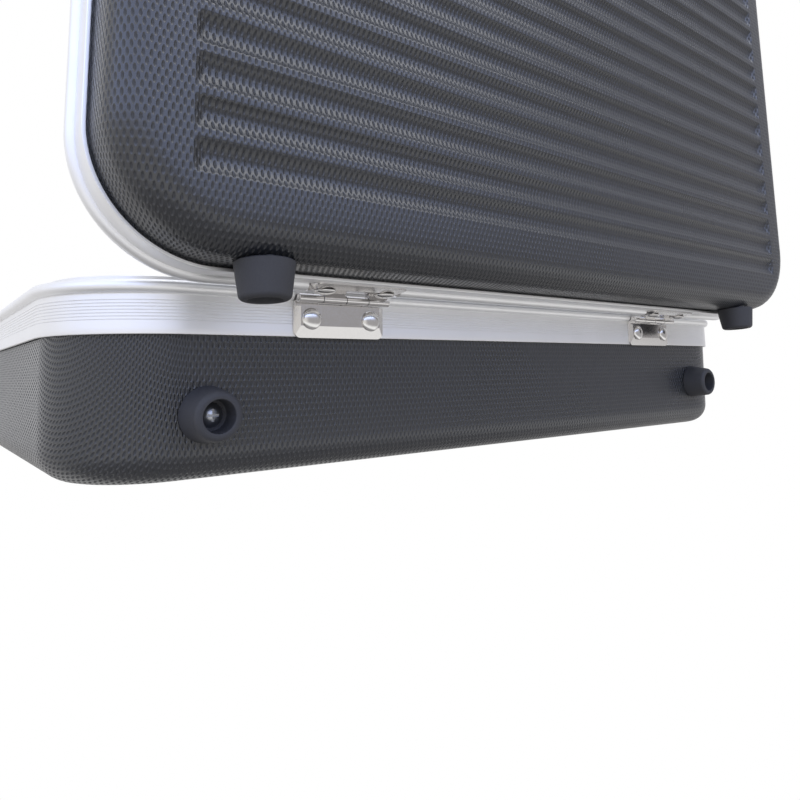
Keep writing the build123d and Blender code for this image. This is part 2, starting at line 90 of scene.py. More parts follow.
# A node's output with arithmetic
class Value:
    def __init__(self, board, socket):
        self.board = board
        self.socket = socket

    def __add__(self, other):
        return self.board.math("ADD", self, other)

    def __sub__(self, other):
        return self.board.math("SUBTRACT", self, other)

    def __rsub__(self, other):
        return self.board.math("SUBTRACT", other, self)

    def __mul__(self, other):
        return self.board.math("MULTIPLY", self, other)

    def __truediv__(self, other):
        return self.board.math("DIVIDE", self, other)

    __radd__ = __add__
    __rmul__ = __mul__


# A node tree that is written as expressions
class Board:
    def __init__(self, tree):
        self.tree = tree
        self.tree.nodes.clear()

    def give(self, target, value):
        if isinstance(value, Value):
            self.tree.links.new(value.socket, target)
        elif isinstance(value, (tuple, list)) and len(value) == 3 and target.type == "RGBA":
            target.default_value = (*value, 1)
        else:
            target.default_value = value

    def node(self, kind, settings=None, values=None, output=0):
        made = self.tree.nodes.new(kind)
        for name, setting in (settings or {}).items():
            setattr(made, name, setting)
        for name, value in (values or {}).items():
            self.give(made.inputs[name], value)
        return Value(self, made.outputs[output]) if made.outputs else made

    def math(self, operation, *values):
        return self.node("ShaderNodeMath", {"operation": operation}, dict(enumerate(values)))

    def part(self, vector, axis):
        return self.node("ShaderNodeSeparateXYZ", {}, {0: vector}, axis)

    def mix(self, share, low, high):
        settings = {"data_type": "RGBA", "clamp_factor": True}
        return self.node("ShaderNodeMix", settings, {0: share, 6: low, 7: high}, 2)

    def spread(self, value, lowIn, highIn, lowOut, highOut):
        ends = {0: value, 1: lowIn, 2: highIn, 3: lowOut, 4: highOut}
        return self.node("ShaderNodeMapRange", {"interpolation_type": "SMOOTHSTEP"}, ends)

    def noise(self, vector, scale, detail=2.0, stretch=(1, 1, 1)):
        place = self.node("ShaderNodeMapping", {}, {"Vector": vector, "Scale": stretch})
        return self.node("ShaderNodeTexNoise", {}, {"Vector": place, "Scale": scale, "Detail": detail})

    def place(self):
        return self.node("ShaderNodeTexCoord", {}, {}, "Object")

    def bump(self, height, depth, strength=1.0):
        return self.node("ShaderNodeBump", {}, {"Height": height, "Distance": depth, "Strength": strength})

    def close(self, geometry, material):
        single = self.node("GeometryNodeRealizeInstances", {}, {"Geometry": geometry})
        painted = self.node("GeometryNodeSetMaterial", {}, {"Geometry": single, "Material": material})
        self.node("NodeGroupOutput", {}, {"Geometry": painted})

    def surface(self, values):
        shader = self.node("ShaderNodeBsdfPrincipled", {}, values)
        self.node("ShaderNodeOutputMaterial", {}, {"Surface": shader})


def shadingOf(owner):
    owner.use_nodes = True
    return Board(owner.node_tree)


def addLight():
    world = bpy.data.worlds.new("world")
    bpy.context.scene.world = world
    board = shadingOf(world)
    direction = board.node("ShaderNodeTexCoord", {}, {}, "Generated")
    height = board.part(direction, 2)
    nearness = board.part(direction, 1)
    sideways = board.part(direction, 0)

    def fade(value, name, highest=1):
        return board.spread(value, *fades[name], 0, highest)

    near = board.mix(fade(sideways, "nearSide"), light["near"], light["nearSide"])
    eyeLevel = board.mix(fade(nearness, "near"), light["far"], near)
    window = fade(nearness + sideways * light["windowTurn"], "windowAcross") * fade(height, "windowUp")
    upper = board.mix(window, eyeLevel, light["window"])
    upper = board.mix(fade(height, "above"), upper, light["above"])
    ground = board.mix(fade(nearness, "ground"), light["lowFar"], light["lowNear"])
    deep = board.mix(fade(nearness, "floor"), light["floorFar"], light["below"])
    lower = board.mix(fade(height, "deep"), deep, ground)
    horizon = height + fade(nearness, "ground", light["dip"])
    colour = board.mix(fade(horizon, "horizon"), lower, upper)
    room = board.node("ShaderNodeBackground", {}, {"Color": colour, "Strength": 1.0})
    white = board.node("ShaderNodeBackground", {}, {"Color": (1.0, 1.0, 1.0), "Strength": 1.0})
    seen = board.node("ShaderNodeLightPath", {}, {}, "Is Camera Ray")
    both = board.node("ShaderNodeMixShader", {}, {0: seen, 1: room, 2: white})
    board.node("ShaderNodeOutputWorld", {}, {"Surface": both})
    for name, (place, size, power) in light["lamps"].items():
        lamp = bpy.data.lights.new(name, "AREA")
        lamp.shape = "SQUARE"
        lamp.size = size
        lamp.energy = power
        holder = bpy.data.objects.new(name, lamp)
        holder.location = place
        toAim = Vector(light["aim"]) - Vector(place)
        holder.rotation_euler = toAim.to_track_quat("-Z", "Y").to_euler()
        bpy.context.scene.collection.objects.link(holder)


addLight()
print("light set")


# Materials: the shells' pressed grain, then the fine grain and wear of every finish, then the colours
grain = {"column": 0.97, "row": 4.2, "narrow": 1.9, "long": 3.4, "slope": (0.3, 1.1), "height": 0.26 * mm,
         "dull": 0.7, "gloss": (0.25, 0.31), "sheen": 0.92, "fine": 0.12}
finish = {"shellGrain": 2400.0, "shellWear": 14.0, "drawnLines": (0.02, 6.0, 1.0), "metalGrain": 900.0,
          "metalWear": 60.0, "metalDepth": 0.012 * mm, "mouldWear": 90.0, "mouldDepth": 0.05 * mm}
colours = {"shell": (0.0125, 0.014, 0.018), "aluminium": (0.88, 0.88, 0.885), "nickel": (0.66, 0.645, 0.635),
           "rivet": (0.74, 0.73, 0.72), "zinc": (0.45, 0.46, 0.48), "rubber": (0.034, 0.035, 0.041),
           "plastic": (0.02, 0.02, 0.022)}


# Staggered long grains, pressed into the sheet: u and v are its flat coordinates in millimetres
def embossHeight(board, u, v):
    across = u / grain["column"]
    column = board.math("FLOOR", across)
    odd = board.math("MODULO", board.math("ABSOLUTE", column), 2.0)
    along = v / grain["row"] + odd * 0.5
    fromMiddle = (across - column - 0.5) * grain["narrow"]
    fromCentre = (board.math("FRACT", along) - 0.5) * grain["long"]
    distance = board.math("SQRT", fromMiddle * fromMiddle + fromCentre * fromCentre)
    return board.spread(distance, *grain["slope"], 0.0, 1.0)


# One colour made a little darker and a little lighter
def shades(colour, low, high):
    return [tuple(share * part for part in colour) for share in (low, high)]


def shellMaterial():
    material = bpy.data.materials.new("blackShell")
    board = shadingOf(material)
    sheet = board.node("ShaderNodeUVMap", {"uv_map": "sheet"})
    height = embossHeight(board, board.part(sheet, 0), board.part(sheet, 1))
    outside = board.node("ShaderNodeAttribute", {"attribute_name": "outside"}, {}, "Fac")
    fine = board.noise(board.place(), finish["shellGrain"], 2.0)
    worn = board.noise(board.place(), finish["shellWear"], 3.0)
    relief = height * outside + fine * grain["fine"]
    colour = board.mix(worn, *shades(colours["shell"], 0.88, 1.12))
    gloss = board.spread(worn, 0.2, 0.8, *grain["gloss"])
    roughness = gloss + (1 - height) * outside * (grain["dull"] - gloss)
    board.surface({"Base Color": colour, "Roughness": roughness, "Specular IOR Level": grain["sheen"],
                   "Normal": board.bump(relief, grain["height"])})
    return material


# Metal: faint lines along the run of an extrusion, which is u of its own map, or an even fine grain
def metalMaterial(name, colour, roughness, lines=None):
    material = bpy.data.materials.new(name)
    board = shadingOf(material)
    if lines:
        vector = board.node("ShaderNodeUVMap", {"uv_map": lines})
        drawn = board.noise(vector, 1.0, 3.0, finish["drawnLines"])
    else:
        drawn = board.noise(board.place(), finish["metalGrain"], 3.0)
    worn = board.noise(board.place(), finish["metalWear"], 2.0)
    tint = board.mix(worn, *shades(colour, 0.95, 1.03))
    board.surface({"Base Color": tint, "Metallic": 1.0,
                   "Roughness": board.spread(drawn, 0.2, 0.8, roughness - 0.04, roughness + 0.04),
                   "Normal": board.bump(drawn, finish["metalDepth"], 0.6)})
    return material


def mouldedMaterial(name, colour, roughness, scale):
    material = bpy.data.materials.new(name)
    board = shadingOf(material)
    fine = board.noise(board.place(), scale, 3.0)
    worn = board.noise(board.place(), finish["mouldWear"], 2.0)
    tint = board.mix(worn, *shades(colour, 0.85, 1.15))
    gloss = board.spread(fine, 0.2, 0.8, roughness - 0.05, roughness + 0.05)
    board.surface({"Base Color": tint, "Roughness": gloss, "Normal": board.bump(fine, finish["mouldDepth"])})
    return material


looks = {"black_shell": shellMaterial(),
         "frame_aluminium": metalMaterial("frameAluminium", colours["aluminium"], 0.46, "run"),
         "hinge_steel": metalMaterial("hingeNickel", colours["nickel"], 0.15),
         "rivet_steel": metalMaterial("rivetPolished", colours["rivet"], 0.16),
         "screw_steel": metalMaterial("screwZinc", colours["zinc"], 0.34),
         "foot_rubber": mouldedMaterial("footRubber", colours["rubber"], 0.62, 1600.0),
         "handle_plastic": mouldedMaterial("handlePlastic", colours["plastic"], 0.5, 1100.0)}
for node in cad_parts.values():
    for place in node.material_slots:
        place.material = looks[place.material.name]
print("materials made")


# Meshes
def smoothed(mesh, angle):
    work = bmesh.new()
    work.from_mesh(mesh)
    bmesh.ops.remove_doubles(work, verts=work.verts, dist=1e-7)
    bmesh.ops.recalc_face_normals(work, faces=work.faces)
    work.to_mesh(mesh)
    work.free()
    mesh.shade_smooth()
    mesh.set_sharp_from_angle(angle=math.radians(angle))
    return mesh


# Points in millimetres, with a flat map and marks on the points where a material or a tree needs them
def meshOf(name, points, faces, flat=None, mapName="run", marks=None):
    mesh = bpy.data.meshes.new(name)
    mesh.from_pydata((np.asarray(points, float) * mm).tolist(), [], faces)
    if flat is not None:
        layer = mesh.uv_layers.new(name=mapName)
        corners = np.asarray(flat, np.float32)[[loop.vertex_index for loop in mesh.loops]]
        layer.uv.foreach_set("vector", corners.ravel())
    for mark, values in (marks or {}).items():
        values = list(values) + [0.0] * (len(points) - len(values))
        mesh.attributes.new(mark, "FLOAT", "POINT").data.foreach_set("value", values)
    return mesh


# A tree with its named inputs: numbers, vectors and the material
def geometryBoard(name, numbers, vectors=()):
    tree = bpy.data.node_groups.new(name, "GeometryNodeTree")
    tree.interface.new_socket(name="Geometry", in_out="OUTPUT", socket_type="NodeSocketGeometry")
    tree.interface.new_socket(name="Geometry", in_out="INPUT", socket_type="NodeSocketGeometry")
    kinds = {"NodeSocketFloat": numbers, "NodeSocketVector": vectors, "NodeSocketMaterial": ("Material",)}
    for kind, labels in kinds.items():
        for label in labels:
            tree.interface.new_socket(name=label, in_out="INPUT", socket_type=kind)
    board = Board(tree)
    group = tree.nodes.new("NodeGroupInput")
    return board, {socket.name: Value(board, socket) for socket in group.outputs if socket.name}


# Runs a tree on a mesh and gives a plain mesh
def grown(mesh, tree, sizes):
    holder = bpy.data.objects.new(mesh.name, mesh)
    bpy.context.scene.collection.objects.link(holder)
    modifier = holder.modifiers.new("tree", "NODES")
    modifier.node_group = tree
    for item in tree.interface.items_tree:
        if item.in_out == "INPUT" and item.name in sizes:
            modifier[item.identifier] = sizes[item.name]
    depsgraph = bpy.context.evaluated_depsgraph_get()
    result = bpy.data.meshes.new_from_object(holder.evaluated_get(depsgraph), preserve_all_data_layers=True,
                                             depsgraph=depsgraph)
    holder.modifiers.clear()
    name = mesh.name
    bpy.data.objects.remove(holder)
    bpy.data.meshes.remove(mesh)
    result.name = name
    return result


def addPiece(mesh, body, slotName, *nodes):
    piece = bpy.data.objects.new(mesh.name, mesh)
    if not mesh.materials:
        mesh.materials.append(looks[slotName])
    bpy.context.scene.collection.objects.link(piece)
    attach(piece, body)
    if nodes:
        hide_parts(*nodes)
    return piece


# The lid's pieces are drawn shut and turned open about the hinge pins: how far back and how high these lie
hingePin = (148.9, 59.2)


def opened(points):
    points = np.asarray(points, float)
    out = points[:, 1] - hingePin[0]
    up = points[:, 2] - hingePin[1]
    return np.column_stack([points[:, 0], hingePin[0] + up, hingePin[1] - out])


case = {"length": 385.0, "width": 290.0, "corner": 38.0, "baseDepth": 46.0, "baseRim": 61.8, "lidDepth": 20.0,
        "lidRim": 30.0, "lidBottom": 63.1, "lidTop": 76.1, "lidPanel": 96.1, "shellInset": 1.7, "wall": 2.0,
        "edge": 11.0, "baseDraft": 1.5, "lidDraft": 3.5}
feet = {"rightBaseFoot": (-147.0, 25.0, "base", "right_base_foot"),
        "leftBaseFoot": (148.5, 21.0, "base", "left_base_foot"),
        "rightLidFoot": (-141.0, 85.3, "lid", "right_lid_foot"),
        "leftLidFoot": (144.5, 85.3, "lid", "left_lid_foot")}
flute = {"pitch": 11.8, "width": 9.1, "depth": 1.8, "edgeMargin": 27.0, "endMargin": 23.0, "brow": 0.66,
         "toe": 2.6}
# Where the panel's grid has its lines: off the middle of each flute, along the flutes and at their ends
sheetGrid = {"rowLines": [1.2, 2.4, 3.3, 3.9, 4.25, 4.45, 4.6, 4.75, 4.95, 5.2], "between": 5.9, "spare": 0.1,
             "columns": (10, 151, 11.6),
             "endLines": [154.5, 157, 159.5, 162, 164, 165.5, 166.6, 167.2, 167.6, 167.9, 168.3, 168.8, 169.2,
                          169.5, 169.8, 170.3, 170.9, 171.5]}


# Sinks the panel into rows of hollows, by the place of each point on the flat sheet
def fluteTree():
    numbers = ("Pitch", "Width", "Depth", "Reach", "Half Length", "Brow", "Toe")
    board, given = geometryBoard("flutes", numbers, ("Inward",))
    depth, reach = given["Depth"], given["Reach"]
    sheet = board.node("GeometryNodeInputNamedAttribute", {"data_type": "FLOAT_VECTOR"}, {"Name": "sheet"})
    panel = board.node("GeometryNodeInputNamedAttribute", {"data_type": "FLOAT"}, {"Name": "panel"})
    radius = (given["Width"] * given["Width"] / 4 + depth * depth) / (depth * 2)
    rows = board.math("ROUND", reach * 2 / given["Pitch"])
    step = reach * 2 / rows
    fromFirst = board.part(sheet, 1) + reach
    nearest = board.math("MINIMUM", board.math("MAXIMUM", board.math("ROUND", fromFirst / step), 0), rows)
    off = fromFirst - nearest * step
    hollow = board.math("SQRT", board.math("MAXIMUM", radius * radius - off * off, 0)) - (radius - depth)
    toEnd = given["Half Length"] - board.math("ABSOLUTE", board.part(sheet, 0))
    cut = board.math("SMOOTH_MIN", hollow, toEnd, given["Toe"])
    sink = board.math("SMOOTH_MAX", cut, 0, given["Brow"]) * panel * mm
    moved = board.node("ShaderNodeVectorMath", {"operation": "SCALE"}, {0: given["Inward"], "Scale": sink})
    shape = board.node("GeometryNodeSetPosition", {}, {"Geometry": given["Geometry"], "Offset": moved})
    board.close(shape, given["Material"])
    return board.tree


# The panel's grid has its lines close together on the brows of the flutes
def panelLines():
    reach = case["width"] / 2 - flute["edgeMargin"]
    rows = round(2 * reach / flute["pitch"])
    pitch = 2 * reach / rows
    near = sheetGrid["rowLines"]
    offsets = [-sheetGrid["between"]] + [-offset for offset in near] + [0.0] + near
    ys = [row * pitch - reach + offset for row in range(rows + 1) for offset in offsets]
    border = reach + near[-1] + sheetGrid["spare"]
    ys = np.unique(np.round([y for y in ys if abs(y) <= border], 4))
    half = list(np.arange(*sheetGrid["columns"])) + sheetGrid["endLines"]
    xs = np.array([-x for x in reversed(half)] + [0.0] + half)
    return xs, ys


# A point of the wall's outline beyond a panel point, and the way it faces
def outlineBeyond(x, y):
    halfLength = case["length"] / 2 - case["shellInset"]
    halfWidth = case["width"] / 2 - case["shellInset"]
    corner = case["corner"] - case["shellInset"]
    dx = max(abs(x) - (halfLength - corner), 0)
    dy = max(abs(y) - (halfWidth - corner), 0)
    nx, ny = math.copysign(dx, x), math.copysign(dy, y)
    size = math.hypot(nx, ny)
    nx, ny = nx / size, ny / size
    cx = math.copysign(min(abs(x), halfLength - corner), x)
    cy = math.copysign(min(abs(y), halfWidth - corner), y)
    return cx + nx * corner, cy + ny * corner, nx, ny


# How far in from the outline, how high and how far along the sheet each ring of a drawn shell lies
def shellRings(knee, depth, draft):
    lean, edge, wall = math.radians(draft), case["edge"], case["wall"]
    turns = np.linspace(0, math.pi / 2 - lean, 11)

    def side(z):
        return max(knee - z, 0) * math.tan(lean)

    def bend(radius, floor, inset):
        middle = inset + side(floor + radius) + radius / math.cos(lean)
        return [(middle - radius * math.sin(t), floor + radius * (1 - math.cos(t)), edge * t) for t in turns]

    outer = bend(edge, 0.0, 0.0)
    low, run = outer[-1][1], outer[-1][2]
    outer += [(side(z), z, run + z - low) for z in list(np.linspace(low, knee, 4)[1:]) + [depth]]
    inner = bend(edge - wall, wall, wall)
    low = inner[-1][1]
    inner += [(wall + side(z), z, run + z - low) for z in list(np.linspace(low, knee, 4)[1:]) + [depth]]
    return [(*ring, 1.0) for ring in outer] + [(*ring, 0.0) for ring in reversed(inner)], outer[0][0]


# A drawn shell with its panel down at z = 0, its rim at the depth, and its sheet map
def drawnShell(knee, depth, draft):
    xs, ys = panelLines()
    gx, gy = np.meshgrid(xs, ys)
    points, flat, outside, faces, panels = [], [], [], [], []
    rows, columns = gx.shape
    for lift in (0.0, case["wall"]):
        index = len(points) + np.arange(rows * columns).reshape(rows, columns)
        for x, y in zip(gx.ravel(), gy.ravel()):
            points.append((x, y, lift))
            flat.append((x, y))
            outside.append(0.0 if lift else 1.0)
        quads = np.stack([index[:-1, :-1], index[:-1, 1:], index[1:, 1:], index[1:, :-1]], -1).reshape(-1, 4)
        faces += quads.tolist()
        edges = (index[0, :-1], index[:-1, -1], index[-1, :0:-1], index[:0:-1, 0])
        panels.append([corner for edge in edges for corner in edge])
    around = [outlineBeyond(*flat[index]) for index in panels[0]]
    rings, border = shellRings(knee, depth, draft)
    previous = panels[0]
    for inset, z, run, out in rings:
        ring = []
        for x, y, nx, ny in around:
            ring.append(len(points))
            points.append((x - nx * inset, y - ny * inset, z))
            flat.append((x + nx * (run - border), y + ny * (run - border)))
            outside.append(out)
        faces += band(previous, ring)
        previous = ring
    faces += band(previous, panels[1])
    return points, faces, flat, {"outside": outside, "panel": [1.0] * (2 * rows * columns)}


# The faces between two closed rows of points
def band(low, high):
    return [[a, b, c, d] for a, b, c, d in zip(low, low[1:] + low[:1], high[1:] + high[:1], high)]


def fluted(mesh, inward):
    reach = case["width"] / 2 - flute["edgeMargin"]
    sizes = {"Pitch": flute["pitch"], "Width": flute["width"], "Depth": flute["depth"], "Reach": reach,
             "Half Length": case["length"] / 2 - flute["endMargin"], "Brow": flute["brow"],
             "Toe": flute["toe"], "Inward": inward, "Material": looks["black_shell"]}
    return smoothed(grown(mesh, fluteTree(), sizes), 40)


def baseShell():
    points, faces, flat, marks = drawnShell(case["baseDepth"], case["baseRim"], case["baseDraft"])
    return fluted(meshOf("baseShell", points, faces, flat, "sheet", marks), (0.0, 0.0, 1.0))


# The lid's feet reach into its rounded edge, where each has a flat round seat
seat = {"radius": 5.0, "sunk": 0.02, "into": 1.0, "rows": 33, "sliver": 1e-4}


def footSeat(x, height):
    lean, radius = math.radians(case["lidDraft"]), seat["radius"]
    start = case["lidPanel"] - case["edge"] * (1 - math.sin(lean))
    points, faces, previous = [], [], None
    for h in radius * np.sin(np.linspace(-math.pi / 2, math.pi / 2, seat["rows"])):
        half = math.sqrt(max(radius ** 2 - h ** 2, 0)) + seat["sliver"]
        z = height + h
        above = max(z - start, 0)
        back = case["edge"] - math.sqrt(case["edge"] ** 2 - above ** 2) + seat["into"]
        face = case["width"] / 2 - case["shellInset"] - (z - case["lidTop"]) * math.tan(lean) - seat["sunk"]
        deep = face - back
        row = [len(points) + n for n in range(4)]
        points += [(x - half, face, z), (x + half, face, z), (x + half, deep, z), (x - half, deep, z)]
        faces += band(previous, row) if previous else [row]
        previous = row
    return points, faces + [previous]


def lidShell():
    points, faces, flat, marks = drawnShell(case["lidDepth"], case["lidRim"], case["lidDraft"])
    points = [(x, y, case["lidPanel"] - z) for x, y, z in points]
    for x, height, *_ in (feet["rightLidFoot"], feet["leftLidFoot"]):
        more, sides = footSeat(x, height)
        faces += [[corner + len(points) for corner in side] for side in sides]
        points += more
        flat += [(px, py) for px, py, pz in more]
        marks["outside"] += [0.0] * len(more)
    return fluted(meshOf("lidShell", opened(points), faces, flat, "sheet", marks), (0.0, -1.0, 0.0))


addPiece(baseShell(), "base", "black_shell", "base_shell")
addPiece(lidShell(), "lid", "black_shell", "lid_shell")
print("shells made")


# Frames: an extruded section bent round the case, r outward from its face and z up from its lower edge.
# The base's lip stands up inside the lid's; the supports keep the flat faces flat beside their rounded rims.
section = {"bead": 2.2, "baseHeight": 16.8, "lidHeight": 13.0, "wall": 1.0, "recess": 3.0, "grooves": 7,
           "groovePitch": 1.0, "firstGroove": 4.4, "grooveDepth": 0.16, "grooveWidth": 0.34, "round": 0.25,
           "lipRise": 1.6, "lipRound": 0.15, "lipFoot": 10.3, "lipGap": 0.3, "lidStep": 2.0, "lidLipTop": 8.5,
           "baseSupport": 2.0, "lidSupport": 8.0, "cornerSteps": 24}
# How far from the case's middle the fittings lie, and half the gap that is milled in the bead for them
spots = {"hinge": 100.6, "latch": 115.0, "bracket": 58.0, "hingeGap": 19.3, "latchGap": 18.8}


def beadArc(middle):
    angles = [math.radians(a) for a in np.linspace(-90, 90, 17)]
    return [(section["bead"] * math.cos(a), middle + section["bead"] * math.sin(a), True) for a in angles]


def groove(z):
    half = section["grooveWidth"] / 2
    return [(0, z - half, False), (-section["grooveDepth"], z, False), (0, z + half, False)]


# The rim of the outer wall beside the shell, with the flange set back behind it; side is 1 where it points up
def wallRim(z, side):
    wall, rounding, inset = section["wall"], section["round"], case["shellInset"]
    turns = [math.radians(a) for a in (0, 30, 60, 90)]
    rim = [(rounding * (math.cos(t) - 1), z - side * rounding * (1 - math.sin(t))) for t in turns]
    deep = z - side * section["recess"]
    under = deep - side * wall
    return rim + [(-wall, z), (-wall, deep), (-inset, deep), (-inset, under), (-wall, under)]


def baseSection():
    shape = [(r, z, False) for r, z in reversed(wallRim(0.0, -1))] + [(0, section["baseSupport"], False)]
    for number in range(section["grooves"]):
        shape += groove(section["firstGroove"] + number * section["groovePitch"])
    shape += beadArc(section["baseHeight"] - section["bead"])
    top, wall, rounding, low = (section[name] for name in ("baseHeight", "wall", "lipRound", "lipFoot"))
    tip = top + section["lipRise"]
    front = case["shellInset"] + case["wall"]
    back = front + wall
    inward = [(-front, top), (-front, tip - rounding), (-front - rounding, tip), (rounding - back, tip),
              (-back, tip - rounding), (-back, low), (-front, low), (-front, top - wall), (-wall, top - wall)]
    return shape + [(r, z, False) for r, z in inward]


def lidSection():
    shape = list(reversed(beadArc(section["bead"])))
    wall, step, top = section["wall"], section["lidStep"], section["lidLipTop"]
    front = case["shellInset"] + case["wall"]
    room = front - section["lipGap"]
    back = front + wall
    inward = [(-room, 0), (-room, step), (-back, step), (-back, top), (-front, top), (-front, step + wall),
              (wall - room, step + wall), (wall - room, wall), (-wall, wall)]
    rim = list(reversed(wallRim(section["lidHeight"], 1))) + [(0, section["lidSupport"])]
    return shape + [(r, z, False) for r, z in inward + rim]


# Stops along one side, doubled where the bead is milled away
def sideStops(half, places, gap):
    stops = [(-half, 1)]
    for centre in sorted(places):
        stops += [(centre - gap, 1), (centre - gap, 0), (centre + gap, 0), (centre + gap, 1)]
    return stops + [(half, 1)]


def frameStops():
    halfLength, halfWidth, corner = case["length"] / 2, case["width"] / 2, case["corner"]
    rear = ((-spots["hinge"], spots["hinge"]), spots["hingeGap"])
    front = ((-spots["latch"], spots["latch"]), spots["latchGap"])
    flats = [(halfLength - corner, rear), (halfWidth - corner, ((), 0)), (halfLength - corner, front),
             (halfWidth - corner, ((), 0))]
    out = [halfWidth, halfLength, halfWidth, halfLength]
    stops, run = [], 0.0
    for number, (half, (places, gap)) in enumerate(flats):
        facing = math.radians(90 - 90 * number)
        nx, ny = math.cos(facing), math.sin(facing)
        tx, ty = ny, -nx
        for along, bead in sideStops(half, places, gap):
            stops.append((tx * along + nx * out[number], ty * along + ny * out[number], nx, ny,
                          run + along + half, bead))
        run += 2 * half
        centreX = tx * half + nx * (out[number] - corner)
        centreY = ty * half + ny * (out[number] - corner)
        for turn in range(1, section["cornerSteps"]):
            angle = facing - math.radians(90 * turn / section["cornerSteps"])
            ax, ay = math.cos(angle), math.sin(angle)
            stops.append((centreX + ax * corner, centreY + ay * corner, ax, ay,
                          run + corner * (facing - angle), 1))
        run += corner * math.pi / 2
    first = stops[0]
    return stops + [(*first[:4], run, 1)]


def sweptFrame(shape, bottom):
    stops = frameStops()
    girth = [0.0]
    closed = shape + shape[:1]
    for (r0, z0, _), (r1, z1, _) in zip(closed, closed[1:]):
        girth.append(girth[-1] + math.hypot(r1 - r0, z1 - z0))
    points, flat, faces = [], [], []
    for x, y, nx, ny, run, bead in stops:
        for (r, z, isBead), v in zip(closed, girth):
            r = r * bead if isBead else r
            points.append((x + nx * r, y + ny * r, bottom + z))
            flat.append((run, v))
    count = len(closed)
    for stop in range(len(stops) - 1):
        for step in range(count - 1):
            a = stop * count + step
            faces.append([a, a + 1, a + 1 + count, a + count])
    return points, faces, flat


def baseFrame():
    points, faces, flat = sweptFrame(baseSection(), case["baseDepth"])
    return smoothed(meshOf("baseFrame", points, faces, flat), 30)


def lidFrame():
    points, faces, flat = sweptFrame(lidSection(), case["lidBottom"])
    return smoothed(meshOf("lidFrame", opened(points), faces, flat), 30)


addPiece(baseFrame(), "base", "frame_aluminium", "base_frame")
addPiece(lidFrame(), "lid", "frame_aluminium", "lid_frame")
print("frames made")


# Feet: a hollow rubber cone with a rounded tip, standing on the rear wall
foot = {"seat": 9.0, "tip": 7.5, "height": 11.4, "round": 1.7, "hole": 5.15, "floor": 3.6, "screw": 1.85,
        "lip": 0.4, "hollow": 0.6, "segments": 72}


def arc(cx, cz, radius, start, end, steps=8):
    angles = [math.radians(a) for a in np.linspace(start, end, steps)]
    return [(cx + radius * math.cos(a), cz + radius * math.sin(a)) for a in angles]


def footProfile():
    high, r, lip, hollow = (foot[name] for name in ("height", "round", "lip", "hollow"))
    tipSide = foot["tip"] + (foot["seat"] - foot["tip"]) * r / high
    lean = math.degrees(math.atan2(foot["seat"] - foot["tip"], high))
    shape = [(foot["screw"], 0), (foot["seat"] - lip, 0), (foot["seat"], lip)]
    shape += arc(tipSide - r, high - r, r, lean, 90)
    shape += arc(foot["hole"] + lip, high - lip, lip, 90, 180, 5)
    shape += arc(foot["hole"] - hollow, foot["floor"] + hollow, hollow, 0, -90, 5)
    return shape + [(foot["screw"], foot["floor"])]


# A closed outline turned about an axis that stands on the leaning rear wall
def turned(profile, x, z, body, segments):
    knee = case["baseDepth"] if body == "base" else case["lidTop"]
    lean = math.radians(-case["baseDraft"] if body == "base" else case["lidDraft"])
    y = case["width"] / 2 - case["shellInset"] - abs((z - knee) * math.tan(lean))
    points, faces, previous, first = [], [], None, None
    for step in range(segments):
        a = 2 * math.pi * step / segments
        row = [len(points) + n for n in range(len(profile))]
        for r, h in profile:
            up = r * math.sin(a)
            points.append((x + r * math.cos(a), y + h * math.cos(lean) - up * math.sin(lean),
                           z + h * math.sin(lean) + up * math.cos(lean)))
        faces += band(previous, row) if previous else []
        first = first or row
        previous = row
    return points, faces + band(previous, first)


def addFeet():
    for name, (x, z, body, node) in feet.items():
        points, faces = turned(footProfile(), x, z, body, foot["segments"])
        points = opened(points) if body == "lid" else points
        addPiece(smoothed(meshOf(name, points, faces), 50), body, "foot_rubber", node)


addFeet()
print("feet made")


# Rivets with a domed head on a rounded rim. Each group has its body and node, its fittings' distance from the
# case's middle, its rivets' from the fitting's, the place of the plate's face and the rivets' height on it,
# and the head's radius and rise.
rivets = {"hingeBaseRivets": ("base", "hinge_base_rivets", spots["hinge"], 12.5, 146.7, 52.3, 3.85, 1.6),
          "hingeLidRivets": ("lid", "hinge_lid_rivets", spots["hinge"], 12.5, 146.7, 66.1, 3.85, 1.6),
          "latchRivets": ("base", "latch_rivets", spots["latch"], 15.5, -146.2, 53.8, 2.4, 1.1),
          "strikeRivets": ("lid", "strike_rivets", spots["latch"], 10.0, -146.2, 66.1, 2.4, 1.1),
          "bracketRivets": ("base", "bracket_rivets", spots["bracket"], 10.3, -146.2, 52.4, 2.4, 1.1)}
rivet = {"rim": 0.32, "shank": 1.3, "grip": 1.5, "segments": 40, "rings": 26}


